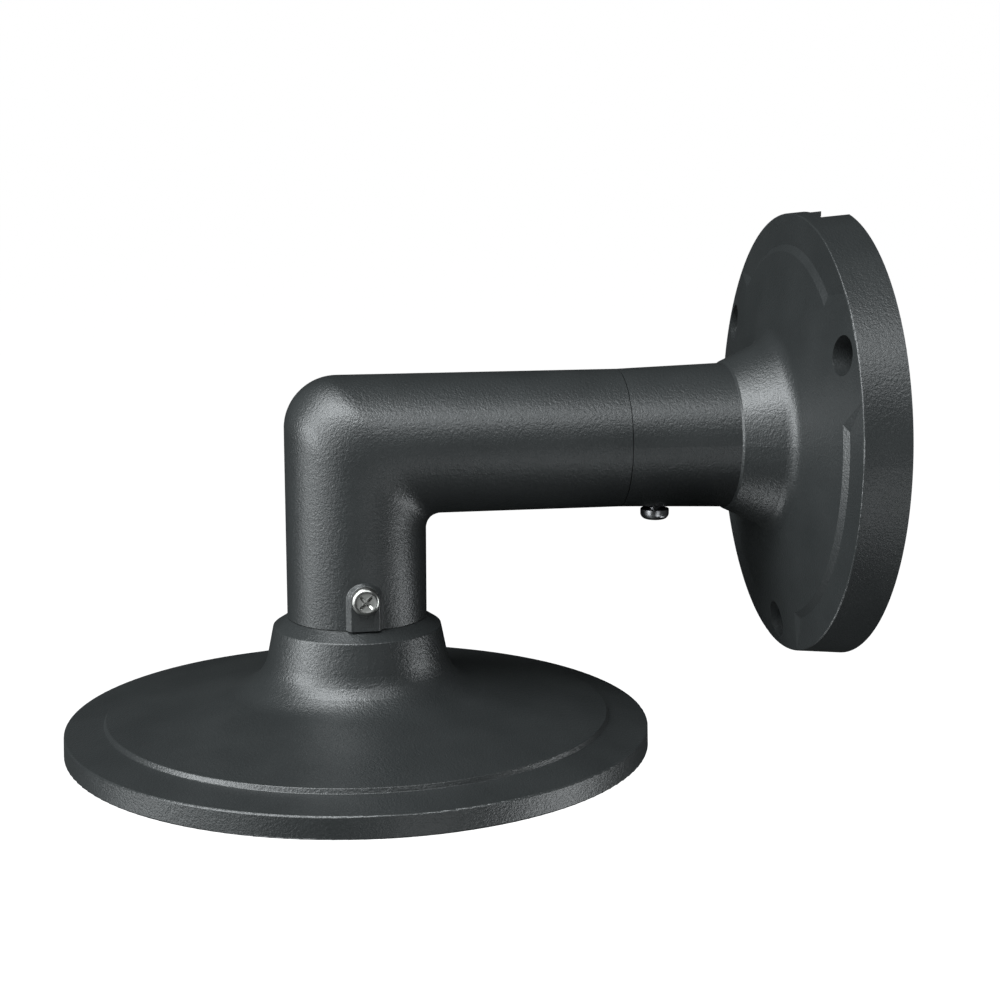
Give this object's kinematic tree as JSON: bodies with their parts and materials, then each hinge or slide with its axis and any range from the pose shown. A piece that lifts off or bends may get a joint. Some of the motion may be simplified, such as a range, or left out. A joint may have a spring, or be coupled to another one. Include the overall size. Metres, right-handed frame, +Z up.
{
  "type": "camera wall mount bracket",
  "caption": "Swan-neck wall bracket for a dome or mini PTZ camera: round wall flange, elbow arm that turns in it, and a dished camera plate that turns under the arm.",
  "frame": {"origin": "centre of the wall flange's back face, on the axis of the arm", "axes": "+Y into the wall, -Y along the arm to the room, +Z up, X = 0 the symmetry plane, +X the side of the plate's lock screw"},
  "size_m": [0.1602, 0.2143, 0.1442],
  "materials": {
    "graphite_coat": "satin",
    "bright_steel": "satin",
    "dark_steel": "satin",
    "black_rubber": "matte"
  },
  "bodies": {
    "wall_base": {"wall_flange": "graphite_coat", "wall_gasket": "black_rubber"},
    "arm_screw": {"arm_lock_screw": "dark_steel"},
    "arm": {"elbow_arm": "graphite_coat", "arm_joint_oring": "black_rubber"},
    "plate_screw": {"plate_lock_screw": "bright_steel"},
    "plate": {"camera_plate": "graphite_coat", "plate_joint_oring": "black_rubber", "camera_gasket": "black_rubber", "cable_grommet": "black_rubber", "safety_hook": "bright_steel", "safety_hook_screw": "bright_steel"}
  },
  "joints": [
    {"name": "arm_swivel", "type": "hinge", "parent": "wall_base", "child": "arm", "pos_m": [0, -0.05, 0], "axis": [0, 1, 0], "range_deg": [-90, 90]},
    {"name": "plate_swivel", "type": "hinge", "parent": "arm", "child": "plate", "pos_m": [0, -0.13417, -0.04], "axis": [0, 0, 1], "continuous": true},
    {"name": "arm_screw_travel", "type": "slide", "parent": "wall_base", "child": "arm_screw", "axis": [0, 0, -1], "range_m": [0, 0.0021]},
    {"name": "plate_screw_travel", "type": "slide", "parent": "arm", "child": "plate_screw", "axis": [1, 0, 0], "range_m": [0, 0.0021]}
  ]
}
